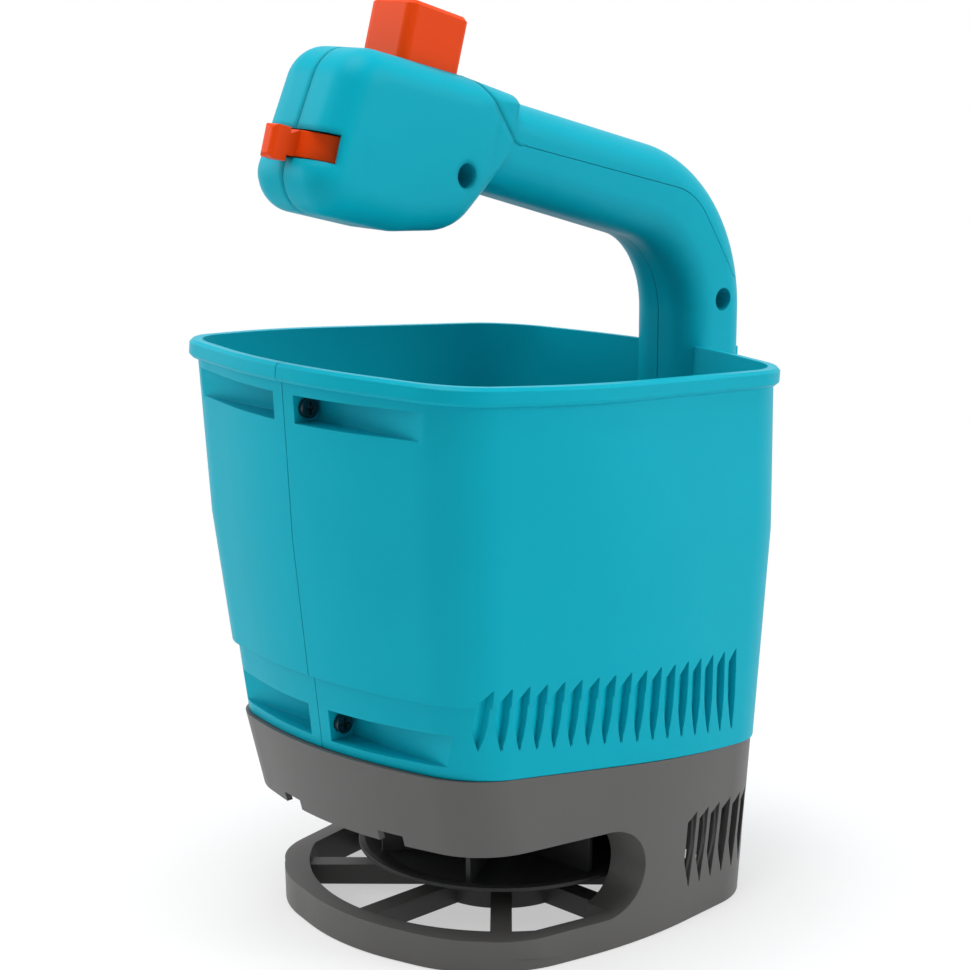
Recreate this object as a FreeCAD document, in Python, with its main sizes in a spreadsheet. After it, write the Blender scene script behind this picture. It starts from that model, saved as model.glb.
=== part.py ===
import FreeCAD, Part
import os
import re
from math import sin, cos, tan, radians, pi

# Electric hand spreader: a two-half hopper with a hooked handle, standing on a base
# with a spinning disc. Millimetres. +Z is up, the front faces -Y, x = 0 is the parting
# plane of the two halves and the disc turns about the Z axis. The foot rests on z = 0.

Vec = FreeCAD.Vector
doc = FreeCAD.newDocument("HandSpreader")
sheet = doc.addObject("Spreadsheet::Sheet", "Sizes")

SIZES = {
    # hopper: heights are taken at the disc axis, its planes fall towards the back
    "rim_height": 212.5, "joint_height": 70.7, "hopper_tilt": 4.86, "wall": 2.3,
    "lip_proud": 2.4, "lip_tall": 6.5, "lip_bevel": 1.2, "belly": 2.0, "belly_height": 150.0,
    "ledge_height": 108.0, "ledge_deep": 2.4, "step_height": 98.7, "step_deep": 2.6,
    "parting": 0.15,
    "pocket_start": 5.4, "pocket_deep": 12.5, "upper_pocket_z": 205.8,
    "upper_pocket_tall": 10.0, "lower_pocket_z": 88.4, "lower_pocket_tall": 12.0,
    "louvre_count": 17, "louvre_pitch": 7.2, "louvre_first": -77.8, "louvre_deep": 1.6,
    "louvre_wide": 4.8, "louvre_top": 107.0, "louvre_top_fall": 0.055, "louvre_low": 78.5,
    "louvre_low_fall": 0.13,
    # base
    "skirt_height": 47.0, "foot_tall": 12.2, "deck_height": 50.0, "deck_thick": 2.5,
    "base_wall": 2.6, "window_round": 17.4, "window_back": -19.0, "base_inset": 0.3,
    "skirt_front": 86.9,
    "spoke_count": 8, "spoke_wide": 8.0, "spoke_low": 1.5, "spoke_tall": 8.0,
    "hub_round": 28.0, "grille_round": 75.0, "foot_wide": 7.0, "disc_gap": 3.8,
    "vent_count": 7, "vent_wide": 4.0, "vent_tall": 30.0, "vent_pitch": 6.9,
    "vent_low": 14.5, "vent_first": 20.0, "notch_wide": 11.0, "notch_tall": 4.0,
    "notch_x": 27.0,
    # handle
    "grip_slope": 16.3, "grip_wide": 35.0, "grip_thick": 36.0, "grip_corner": 13.0,
    "grip_long": 112.0, "column_long": 95.0, "bend_y": 52.4, "bend_z": 217.0,
    "bend_round": 53.2, "shell": 2.5,
    "spine_foot_y": 88.5, "spine_foot_z": 76.0, "spine_top_z": 196.0,
    "head_wide": 41.0, "head_round": 11.0, "head_taper": 24.0, "cover_gap": 0.15,
    # controls
    "button_wide": 23.0, "button_long": 29.0, "button_tall": 20.0, "button_travel": 8.0,
    "button_y": -46.0, "button_z": 320.3, "button_round": 4.0, "button_clear": 0.5,
    "flange": 2.0, "lever_round": 18.5, "lever_tall": 9.2, "lever_y": -83.4,
    "lever_z": 291.2, "lever_half": 55.0, "lever_spare": 7.0, "lever_reach": 20.0, "lever_band": 2.2,
    "knob_out": 12.0, "knob_tall": 14.5, "knob_wide": 7.0, "knob_soft": 2.4, "pin_round": 2.0,
    "running": 0.06,
    # spreading disc and drive
    "disc_round": 55.7, "disc_height": 20.9, "vane_tall": 14.0, "vane_count": 6,
    "shaft_round": 3.0, "gear_module": 1.0, "drive_teeth": 40, "idler_teeth": 24,
    "pinion_teeth": 12, "gear_thick": 6.0, "gear_low": 3.5, "backlash": 0.3,
    "motor_round": 12.0, "motor_tall": 30.0, "cover_wall": 1.8, "cover_clear": 2.5,
    "cover_corner": 6.0, "cover_room": 4.0, "seal_round": 7.0, "seal_thick": 1.6,
    "seal_up": 5.0, "shaft_over": 16.0, "hub_deep": 4.4, "idler_pin_round": 2.0,
    # hopper floor and shutter
    "sump_y": -14.0, "sump_low": 86.0, "sump_tall": 26.0, "sump_top_round": 58.0,
    "sump_low_round": 40.0, "outlet_wide": 26.0, "outlet_long": 14.0, "outlet_y": -35.0,
    "shutter_thick": 1.6, "shutter_lap": 3.0, "shutter_back": 47.0, "chute_wall": 1.6,
    # batteries and screws
    "cell_round": 7.2, "cell_long": 50.0, "screw_round": 1.5, "screw_head": 3.6,
    "base_screw_long": 42.0,
    "pilot": 0.05, "pillar_round": 6.0, "front_pillar_x": 64.0, "front_pillar_y": -42.0,
    "rear_pillar_x": 72.0, "rear_pillar_y": 38.0,
    # plans of walls: headings in degrees from the front, and the arcs between walls
    "front_heading": 15.0, "side_heading": 78.0, "flank_heading": 94.0, "back_heading": 160.0,
    "front_round": 150.0, "corner_round": 29.0, "side_round": 180.0, "rear_round": 31.0,
    "back_round": 130.0, "foot_front_round": 90.0, "foot_corner_round": 50.0,
}
# Plans: how far each wall's line stands from the disc axis. The walls are flat, each square
# to its own heading (degrees from the front round one side), and arcs join them.
WALLS = ("front", "side", "flank", "back")
PLANS = {
    "rim": (111.4, 92.3, 83.0, 100.2),
    "joint": (95.7, 79.1, 83.7, 88.2),
    "foot": (82.5, 75.2, 76.0, 88.0),
}
for plan, numbers in PLANS.items():
    for wall_name, number in zip(WALLS, numbers):
        SIZES[plan + "_" + wall_name] = number

for row, (name, number) in enumerate(SIZES.items(), 1):
    sheet.set("A%d" % row, name)
    sheet.set("B%d" % row, str(number))
    sheet.setAlias("B%d" % row, name)
doc.recompute()

FAR = 200.0          # reach of a cutting block past the whole object


def size(name):
    return float(sheet.get(name))


def bound(text):
    """An expression on the sheet's cells, written with the bare cell names."""
    return re.sub("[a-z_]+", lambda word: "Sizes." + word[0] if word[0] in SIZES else word[0],
                  str(text))


def box(name, corner, dims):
    item = doc.addObject("Part::Box", name)
    for side, text in zip(("Length", "Width", "Height"), dims):
        item.setExpression(side, bound(text))
    for axis, text in zip("xyz", corner):
        item.setExpression(".Placement.Base." + axis, bound(text))
    return item


def rod(name, centre, round_, tall):
    item = doc.addObject("Part::Cylinder", name)
    item.setExpression("Radius", bound(round_))
    item.setExpression("Height", bound(tall))
    for axis, text in zip("xyz", centre):
        item.setExpression(".Placement.Base." + axis, bound(text))
    return item


def solid(name, shape):
    item = doc.addObject("Part::Feature", name)
    item.Shape = shape
    return item


def cut(name, base, tool):
    item = doc.addObject("Part::Cut", name)
    item.Base, item.Tool = base, tool
    return item


def fuse(name, *shapes):
    item = doc.addObject("Part::MultiFuse", name)
    item.Shapes = list(shapes)
    return item


def placed(shape, placement):
    moved = shape.copy()
    moved.Placement = placement.multiply(moved.Placement)
    return moved


def slab(low, high, tilt=0.0):
    """A wide block between two heights, level or falling to the back."""
    tall = (high - low) * cos(radians(tilt))
    wide_block = Part.makeBox(2 * FAR, 2 * FAR, tall, Vec(-FAR, -FAR, 0))
    wide_block.rotate(Vec(), Vec(1, 0, 0), -tilt)
    wide_block.translate(Vec(0, 0, low))
    return wide_block


TURNS = [radians(size(name + "_heading")) for name in WALLS]
ROUNDS = [size(name + "_round") for name in ("front", "corner", "side", "rear", "back")]


def plan(name, proud=0.0):
    """The four wall distances of one plan, moved outwards by proud."""
    return [size(name + "_" + wall_name) + proud for wall_name in WALLS]


def corners(distances, height):
    """Where neighbouring walls meet, all the way round, as points at one height."""
    lines = list(zip(TURNS, distances))
    lines += [(2 * pi - turn, distance) for turn, distance in reversed(lines)]
    points = []
    for (before, near), (after, far) in zip(lines[-1:] + lines[:-1], lines):
        across = sin(after - before)
        points.append(Vec((cos(before) * far - cos(after) * near) / across,
                          (sin(before) * far - sin(after) * near) / across, height))
    return points


def walls(low, low_z, high, high_z, grow=0.0, rounds=ROUNDS):
    """A solid between two level plans: flat walls with the plan's arcs rolled between them."""
    lows = corners([distance + grow for distance in low], low_z)
    highs = corners([distance + grow for distance in high], high_z)
    count = len(lows)
    body = slab(low_z, high_z)
    for here in range(count):
        across, up = lows[(here + 1) % count] - lows[here], highs[here] - lows[here]
        outside = Part.makeBox(4 * FAR, 4 * FAR, FAR, Vec(-2 * FAR, -2 * FAR, 0))
        turned = FreeCAD.Rotation(Vec(0, 0, 1), across.cross(up))
        body = body.cut(placed(outside, FreeCAD.Placement(lows[here], turned)))
    for here in range(count):
        ends = (lows[here], highs[here])
        edges = [edge for edge in body.Edges
                 if all(min(vertex.Point.distanceToPoint(end) for vertex in edge.Vertexes) < 1e-4
                        for end in ends)]
        radius = rounds[min(here, count - here)] + grow
        body = body.makeFillet(radius, edges)
    return body


def leaning(low, low_height, high, high_height, level):
    """Wall distances at a level, from two plans in planes that fall towards the back."""
    found = []
    for turn, near, far in zip(TURNS, low, high):
        low_z = low_height + FALL * near * cos(turn)
        high_z = high_height + FALL * far * cos(turn)
        found.append(near + (far - near) * (level - low_z) / (high_z - low_z))
    return found


def block(low, high):
    low, high = Vec(*low), Vec(*high)
    return Part.makeBox(high.x - low.x, high.y - low.y, high.z - low.z, low)


TILT = size("hopper_tilt")
FALL = tan(radians(TILT))
JOINT, RIM = size("joint_height"), size("rim_height")
LEVELS = (58.0, 226.0)      # level planes past both ends of the hopper's walls


def hopper_walls(grow):
    """The hopper's walls with no ends: they lean more below the belly than above it."""
    low, high = plan("joint"), plan("rim", -size("lip_proud"))
    share = (size("belly_height") - JOINT) / (RIM - JOINT)
    belly = [near + (far - near) * share + size("belly") for near, far in zip(low, high)]
    stages = []
    for first, start, last, stop in ((low, JOINT, belly, size("belly_height")),
                                     (belly, size("belly_height"), high, RIM)):
        ends = [leaning(first, start, last, stop, level) for level in LEVELS]
        stages.append(walls(ends[0], LEVELS[0], ends[1], LEVELS[1], grow))
    return stages[0].common(stages[1])


def rim_lip():
    """The lip round the rim: an upright band with bevelled edges, laid in the rim's plane."""
    tall, bevel = size("lip_tall"), size("lip_bevel")
    band = walls(plan("rim"), -tall, plan("rim"), 0.0)
    edges = [edge for face in band.Faces if abs(face.normalAt(0, 0).z) > 0.9 for edge in face.Edges]
    band = band.makeChamfer(bevel, edges)
    band.rotate(Vec(), Vec(1, 0, 0), -TILT)
    band.translate(Vec(0, 0, RIM))
    return band


def hopper_outer():
    wall = hopper_walls(0.0).common(slab(JOINT, RIM - size("lip_bevel"), TILT))
    below = slab(JOINT - 20, size("step_height"), TILT)
    pushed = wall.translated(Vec(0, size("step_deep"), 0))
    wall = wall.cut(below.cut(pushed))
    return wall.fuse(rim_lip())


def hopper_inside(inset):
    """The room inside the hopper's wall, from the joint to past the rim."""
    return hopper_walls(-inset).common(slab(JOINT, RIM + 1, TILT))


def hopper_void():
    wall, ledge = size("wall"), size("ledge_height")
    bowl = hopper_inside(wall).common(slab(ledge, 2 * FAR, TILT))
    low = hopper_inside(wall + size("ledge_deep")).common(slab(-FAR, ledge + 1, TILT))
    return bowl, low


# The handle's own frame: its origin is where the grip meets the bend.
SLOPE = radians(size("grip_slope"))
BEND = Vec(0, size("bend_y"), size("bend_z"))
GRIP = BEND + Vec(0, sin(SLOPE), cos(SLOPE)) * size("bend_round")
IN_GRIP = FreeCAD.Placement(GRIP, FreeCAD.Rotation(Vec(1, 0, 0), -size("grip_slope")))


def handle_section(angle):
    """The handle's rounded section at one angle round the bend."""
    wide, tall, corner = (size("grip_" + name) for name in ("wide", "thick", "corner"))
    half, flat = wide / 2 - corner, tall / 2 - corner
    soft, edges, ends = corner * sin(pi / 4), [], []
    for sx, sy in ((1, -1), (1, 1), (-1, 1), (-1, -1)):
        arc = [Vec(sx * half, sy * tall / 2, 0), Vec(sx * (half + soft), sy * (flat + soft), 0),
               Vec(sx * wide / 2, sy * flat, 0)]
        ends.append(arc if sx * sy < 0 else arc[::-1])
    for arc, following in zip(ends, ends[1:] + ends[:1]):
        edges += [Part.Arc(*arc).toShape(), Part.LineSegment(arc[2], following[0]).toShape()]
    wire = Part.Wire(edges)
    fall = radians(size("grip_slope") + angle)
    wire.rotate(Vec(), Vec(1, 0, 0), 90 - size("grip_slope") - angle)
    wire.translate(BEND + Vec(0, sin(fall), cos(fall)) * size("bend_round"))
    return Part.Face(wire)


def handle_tube():
    """Grip, bend and column: two straight runs and a turned bend of one section."""
    turn = 90 - size("grip_slope")
    start = handle_section(0)
    grip = start.extrude(Vec(0, -cos(SLOPE), sin(SLOPE)) * size("grip_long"))
    bend = start.revolve(BEND, Vec(1, 0, 0), -turn)
    column = handle_section(turn).extrude(Vec(0, 0, -size("column_long")))
    return grip.fuse([bend, column])


BAY_HALF = 2 * size("cell_round") + 0.6   # half width of the battery bay in the grip
BAY_LONG = 2 * size("cell_long") + 7.0


def handle_void():
    """The hollow of the handle: a narrow tall duct crossed by a wide low one."""
    shell, bend, slope = size("shell"), size("bend_round"), SLOPE
    wide, deep = size("grip_wide") / 2, size("grip_thick") / 2
    tools = []
    for half, reach in ((wide - shell - 4.5, deep - shell), (wide - shell, deep - shell - 6.0)):
        rings = []
        for radius in (bend - reach, bend + reach):
            start = BEND + Vec(0, sin(slope), cos(slope)) * radius
            middle = BEND + Vec(0, sin((slope + pi / 2) / 2), cos((slope + pi / 2) / 2)) * radius
            stop = BEND + Vec(0, radius, 0)
            ahead = start + Vec(0, -cos(slope), sin(slope)) * size("grip_long")
            below = stop - Vec(0, 0, size("column_long") + 1)
            rings.append((ahead, start, middle, stop, below))
        low, high = rings
        edges = [Part.LineSegment(low[0], low[1]), Part.Arc(*low[1:4]),
                 Part.LineSegment(low[3], low[4]), Part.LineSegment(low[4], high[4]),
                 Part.LineSegment(high[4], high[3]), Part.Arc(*high[3:0:-1]),
                 Part.LineSegment(high[1], high[0]), Part.LineSegment(high[0], low[0])]
        tools.append(along_x(Part.Wire([edge.toShape() for edge in edges]), half))
    bay = placed(block((-BAY_HALF, -BAY_LONG, -8), (BAY_HALF, -3, 8)), IN_GRIP)
    return tools[0].fuse([tools[1], bay])


def arc_profile(points):
    """A closed YZ profile: each corner (y, z, radius) is rounded by a tangent arc."""
    corners = [(Vec(0, y, z), radius) for y, z, radius in points]
    ends, edges = [], []
    for number, (here, radius) in enumerate(corners):
        before, after = corners[number - 1][0], corners[(number + 1) % len(corners)][0]
        into, out = (before - here).normalize(), (after - here).normalize()
        reach = radius / tan(into.getAngle(out) / 2) if radius else 0.0
        half = (into + out).normalize()
        centre = here + half * (radius / sin(into.getAngle(out) / 2)) if radius else here
        ends.append((here + into * reach, centre - half * radius, here + out * reach))
    for number, (start, middle, stop) in enumerate(ends):
        if (stop - start).Length > 1e-6:
            edges.append(Part.Arc(start, middle, stop).toShape())
        following = ends[(number + 1) % len(ends)][0]
        if (following - stop).Length > 1e-6:
            edges.append(Part.LineSegment(stop, following).toShape())
    return Part.Wire(edges)


def along_x(wire, half):
    face = Part.Face(wire)
    face.translate(Vec(-half, 0, 0))
    return face.extrude(Vec(2 * half, 0, 0))


# corners of the head seen from the side: y, z and rounding radius
HEAD = ((-85.5, 330.0, 15.0), (-105.6, 286.0, 0.0), (-102.3, 273.5, 14.0),
        (-66.0, 264.0, 0.0), (-38.5, 262.0, 22.0), (-16.0, 281.0, 0.0), (-8.0, 310.5, 0.0))


def head_solid():
    half = size("head_wide") / 2
    body = along_x(arc_profile(HEAD), half)
    edges = [edge for edge in body.Edges
             if all(abs(abs(v.X) - half) < 1e-6 for v in edge.Vertexes)
             and min(v.Y for v in edge.Vertexes) < -17]
    body = body.makeFillet(size("head_round"), edges)
    # the sides draw in towards the grip
    reach, side = size("head_taper"), size("grip_wide") / 2
    tapers = []
    for across in (1, -1):
        points = [(across * half, HEAD[-1][0] - reach), (across * side, HEAD[-1][0] + 2),
                  (across * FAR, HEAD[-1][0] + 2), (across * FAR, HEAD[-1][0] - reach)]
        wire = Part.makePolygon([Vec(x, y, 200) for x, y in points + points[:1]])
        tapers.append(Part.Face(wire).extrude(Vec(0, 0, FAR)))
    return body.cut(tapers)


def head_void():
    """The hollow of the head: the side outline drawn in, narrow and tall, then wide and low."""
    shell, half = size("shell"), size("head_wide") / 2
    face = Part.Face(arc_profile(HEAD))
    tall = along_x(face.makeOffset2D(-shell).OuterWire, half - shell - 5)
    low = along_x(face.makeOffset2D(-shell - 6.5).OuterWire, half - shell)
    return tall.fuse(low)


def mirrored(shape):
    return shape.mirror(Vec(), Vec(1, 0, 0))


def both_sides(shape):
    return [shape, mirrored(shape)]


def prism(points, half, start=None):
    """A YZ polygon drawn out along X, from start (or -half) to half."""
    wire = Part.makePolygon([Vec(0, y, z) for y, z in points + points[:1]])
    low = -half if start is None else start
    face = Part.Face(wire)
    face.translate(Vec(low, 0, 0))
    return face.extrude(Vec(half - low, 0, 0))


# lower edge of the grip cover seen from the side: y, z and rounding radius
COVER = ((-46.7, 340.0, 0.0), (-10.8, 291.4, 12.0), (89.0, 266.2, 30.0), (113.0, 231.0, 0.0),
         (140.0, 225.0, 0.0), (140.0, 340.0, 0.0))
# screws that draw the halves together: y, z; the first two in the handle, two in the flange
HANDLE_SCREWS = ((-38.0, 282.0), (106.4, 222.5))
FLANGE_SCREWS = ((-101.0, size("upper_pocket_z")), (-87.0, size("lower_pocket_z")))
POCKETS = ((-108.5, size("upper_pocket_z"), size("upper_pocket_tall")),
           (-93.7, size("lower_pocket_z"), size("lower_pocket_tall")))
PILLARS = [(side * size(row + "_pillar_x"), size(row + "_pillar_y"))
           for side in (1, -1) for row in ("front", "rear")]
LEVER = Vec(0, size("lever_y"), size("lever_z"))
BUTTON = Vec(0, size("button_y"), size("button_z"))
IN_LEVER = FreeCAD.Placement(LEVER, FreeCAD.Rotation(Vec(1, 0, 0), -size("grip_slope")))
IN_BUTTON = FreeCAD.Placement(BUTTON, FreeCAD.Rotation(Vec(1, 0, 0), -size("grip_slope")))


def spine_back(y):
    """Height of the spine's sloping back at one depth."""
    foot, low = size("spine_foot_y"), size("spine_foot_z")
    return low + (size("spine_top_z") - low) * (y - foot) / (COLUMN_BACK + 1 - foot)


COLUMN_BACK = BEND.y + size("bend_round") + size("grip_thick") / 2


def spine(inset, top):
    """The rib that carries the handle's column down the back of the hopper."""
    foot, inside = size("spine_foot_y"), COLUMN_BACK - 5
    low = size("spine_foot_z") + inset
    points = [(60, low), (foot - inset + (low - spine_back(foot)) * 0.3, low),
              (inside - inset, spine_back(inside)), (inside - inset, top), (60, top)]
    return prism(points, size("grip_wide") / 2 - 2 - inset)


def behind_spine():
    foot, past = size("spine_foot_y"), COLUMN_BACK + 1
    low, top = size("spine_foot_z"), size("spine_top_z")
    return prism([(foot, low), (past, top), (FAR, top), (FAR, low)], 40)


def pocket_tools(backing=0.0):
    tools = []
    for front, height, tall in POCKETS:
        floor = front + size("pocket_deep") + backing
        half = tall / 2 + backing
        start = size("pocket_start") if not backing else 0
        side = block((start, front - 30, height - half), (90, floor, height + half))
        tools += both_sides(side)
    return tools


def skin_at(skin, y, level):
    """The point of a wall's outside at one depth and level, on the +X side."""
    line = Part.makeLine(Vec(30, y, level), Vec(FAR, y, level))
    return Vec(skin.common(line).BoundBox.XMax, y, level)


def blade(y, wide, low, top):
    """A slot's outline seen from the side: square above, drawn to a point below."""
    return [(y, top - 5), (y + wide, top), (y + wide * 0.8, low), (y + wide * 0.1, low + 14)]


def louvres():
    """Slanted grooves in both sides of the hopper, low down: each deepens to the back."""
    tools = []
    deep, wide, skin = size("louvre_deep"), size("louvre_wide"), hopper_walls(0.0)
    for number in range(int(size("louvre_count"))):
        y = size("louvre_first") + number * size("louvre_pitch")
        top = size("louvre_top") - size("louvre_top_fall") * y
        bottom = size("louvre_low") - size("louvre_low_fall") * y
        level = (top + bottom) / 2
        start, stop = skin_at(skin, y, level), skin_at(skin, y + wide, level)
        rise = skin_at(skin, y, level + 10) - start
        wedge = [start, stop - Vec(deep, 0, 0), stop + Vec(9, 0, 0), start + Vec(9, 0, 0)]
        wedge = Part.Face(Part.makePolygon(wedge + wedge[:1]))
        wedge.translate(rise * -3)
        tools.append(wedge.extrude(rise * 6).common(prism(blade(y, wide, bottom, top), 110, 30)))
    return both_sides(Part.makeCompound(tools))


LEVER_HUB = 5.0      # radius of the dosing lever's hub


def sector(half, tall):
    """A wedge that opens to the front, so many degrees to each side of x = 0."""
    points = [Vec()]
    for share in (-1.0, -0.5, 0.0, 0.5, 1.0):
        angle = radians(half) * share
        points.append(Vec(FAR * sin(angle), -FAR * cos(angle), 0))
    wedge = Part.Face(Part.makePolygon(points + points[:1]))
    wedge.translate(Vec(0, 0, -tall / 2))
    return wedge.extrude(Vec(0, 0, tall))


def lever_slot():
    """The curved slot round the head's front in which the dosing lever shows."""
    tall = size("lever_tall") + 2 * size("button_clear")
    ring = Part.makeCylinder(size("lever_round") + 12, tall, Vec(0, 0, -tall / 2))
    ring = ring.cut(Part.makeCylinder(size("lever_round") - 4.5, tall, Vec(0, 0, -tall / 2)))
    window = ring.common(sector(size("lever_half"), 40))
    round_ = size("lever_round")
    track = Part.makeCylinder(round_ + 0.5, tall, Vec(0, 0, -tall / 2))
    track = track.cut(Part.makeCylinder(round_ - size("lever_band") - 0.6, tall,
                                        Vec(0, 0, -tall / 2)))
    swing = size("lever_half") + size("lever_spare") + size("lever_reach") + 2
    track = track.common(sector(swing, 40))
    hub = Part.makeCylinder(LEVER_HUB + 0.5, tall, Vec(0, 0, -tall / 2))
    web = Part.makeCylinder(round_ - 1, 3.4, Vec(0, 0, -1.7))
    return placed(window.fuse([track, hub, web]), IN_LEVER)


def housing():
    tube, head = handle_tube(), head_solid()
    hopper = hopper_outer()
    outer = hopper.fuse([tube, spine(0, 202), head]).cut(behind_spine())
    outer = outer.cut(slab(-40, size("joint_height"), TILT))
    bowl, low = hopper_void()
    bowl = bowl.cut(tube)
    duct = handle_void().fuse([head_void(), spine(size("shell"), 199).cut(hopper)])
    duct = duct.fuse(block((-11, 60, size("spine_foot_z") + 6), (11, 96, size("ledge_height") - 7.8)))
    duct = duct.cut(behind_spine().translated(Vec(0, -size("shell"), 0)))
    shell = outer.cut(bowl.fuse([low]))
    # walls behind the screw pockets, pillars for the base screws and bosses in the handle
    backs = Part.makeCompound(pocket_tools(size("wall"))).common(hopper)
    pillars = [Part.makeCylinder(size("pillar_round"), FAR, Vec(x, y, 0)) for x, y in PILLARS]
    pillars = Part.makeCompound(pillars).common(
        slab(size("joint_height"), size("ledge_height"), TILT))
    pillars = pillars.cut([Part.makeCylinder(size("screw_round") + size("pilot"), 90, Vec(x, y, 10))
                           for x, y in PILLARS])
    shell = shell.cut(duct)
    bosses = [Part.makeCylinder(size("screw_head") + 2, 40, Vec(-20, y, z), Vec(1, 0, 0))
              for y, z in HANDLE_SCREWS]
    bosses = Part.makeCompound(bosses).common(tube.fuse(head))
    posts = [Part.makeCylinder(LEVER_HUB - 0.5, 44, Vec(0, 0, 5)),
             Part.makeCylinder(LEVER_HUB - 0.5, 44, Vec(0, 0, -49))]
    posts = placed(Part.makeCompound(posts), IN_LEVER).common(head)
    pin = Part.makeCylinder(size("pin_round") + size("running"), 26, Vec(0, 0, -13))
    pin = placed(pin, IN_LEVER)
    shell = shell.fuse([backs, pillars, bosses, posts])
    shell = shell.cut(pocket_tools())
    shell = shell.cut(louvres())
    return shell.cut([lever_slot(), button_hole(), pin])


def button_hole():
    clear = size("button_clear")
    return placed(block((-size("button_wide") / 2 - clear, -size("button_long") / 2 - clear, -8),
                        (size("button_wide") / 2 + clear, size("button_long") / 2 + clear, 30)),
                  IN_BUTTON)


def screw_on_x(y, z, head_at, tip_at):
    """A pan-head screw along X: its head outside head_at, its tip at tip_at."""
    shank = Part.makeCylinder(size("screw_round"), head_at - tip_at, Vec(tip_at, y, z), Vec(1, 0, 0))
    head = Part.makeCylinder(size("screw_head"), 2.4, Vec(head_at, y, z), Vec(1, 0, 0))
    slots = [block((head_at + 1.2, y - w, z - t), (head_at + 3, y + w, z + t))
             for w, t in ((2.2, 0.45), (0.45, 2.2))]
    return shank.fuse(head).cut(slots)


HEAD_AT = 7.0        # where the handle screws' heads seat
TIP_AT = -9.0        # where the housing screws end


def halves():
    whole = housing()
    gap = size("parting")
    left = whole.common(block((gap, -FAR, -FAR), (FAR, FAR, 2 * FAR)))
    right = whole.common(block((-FAR, -FAR, -FAR), (-gap, FAR, 2 * FAR)))
    hole = size("screw_round") + size("pilot")
    for y, z in HANDLE_SCREWS:
        left = left.cut(Part.makeCylinder(size("screw_head") + 0.9, 30, Vec(HEAD_AT, y, z),
                                          Vec(1, 0, 0)))
    for y, z in HANDLE_SCREWS + FLANGE_SCREWS:
        bore = Part.makeCylinder(hole, 30 - TIP_AT, Vec(TIP_AT - 1, y, z), Vec(1, 0, 0))
        left, right = left.cut(bore), right.cut(bore)
    region = along_x(arc_profile(COVER), 60)
    shell = handle_tube().fuse(head_solid()).cut(handle_void().fuse(head_void()))
    gap = size("cover_gap")
    cover = shell.common(region).common(region.translated(Vec(0, gap, gap)))
    lid_cut = region.common(block((-60, -46, -FAR), (60, FAR, 2 * FAR)))
    left, right = left.cut(lid_cut), right.cut(lid_cut)
    return left, right, cover


def make_housing():
    left, right, cover = halves()
    solid("left_housing", left)
    solid("right_housing", right)
    solid("grip_cover", cover)


def base_walls(grow):
    """The base's outside: walls down from the joint, and the rounder front of the foot."""
    inset, skirt, foot_tall = size("base_inset"), size("skirt_height"), size("foot_tall")
    joint, foot, top_level = plan("joint", -inset), plan("foot"), 90.0
    levels = [JOINT + FALL * distance * cos(turn) for turn, distance in zip(TURNS, joint)]
    low = list(foot)
    low[0] = joint[0] - (joint[0] - size("skirt_front")) * levels[0] / (levels[0] - skirt)
    high = [near + (far - near) * top_level / level
            for near, far, level in zip(low, joint, levels)]
    body = walls(low, 0, high, top_level, grow).common(slab(0, JOINT, TILT))
    ring = [near + (far - near) * foot_tall / top_level for near, far in zip(low, high)]
    ring[0] = foot[0]
    rounds = [size("foot_front_round"), size("foot_corner_round")] + ROUNDS[2:]
    return body.fuse(walls(foot, 0, ring, foot_tall, grow, rounds))


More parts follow.
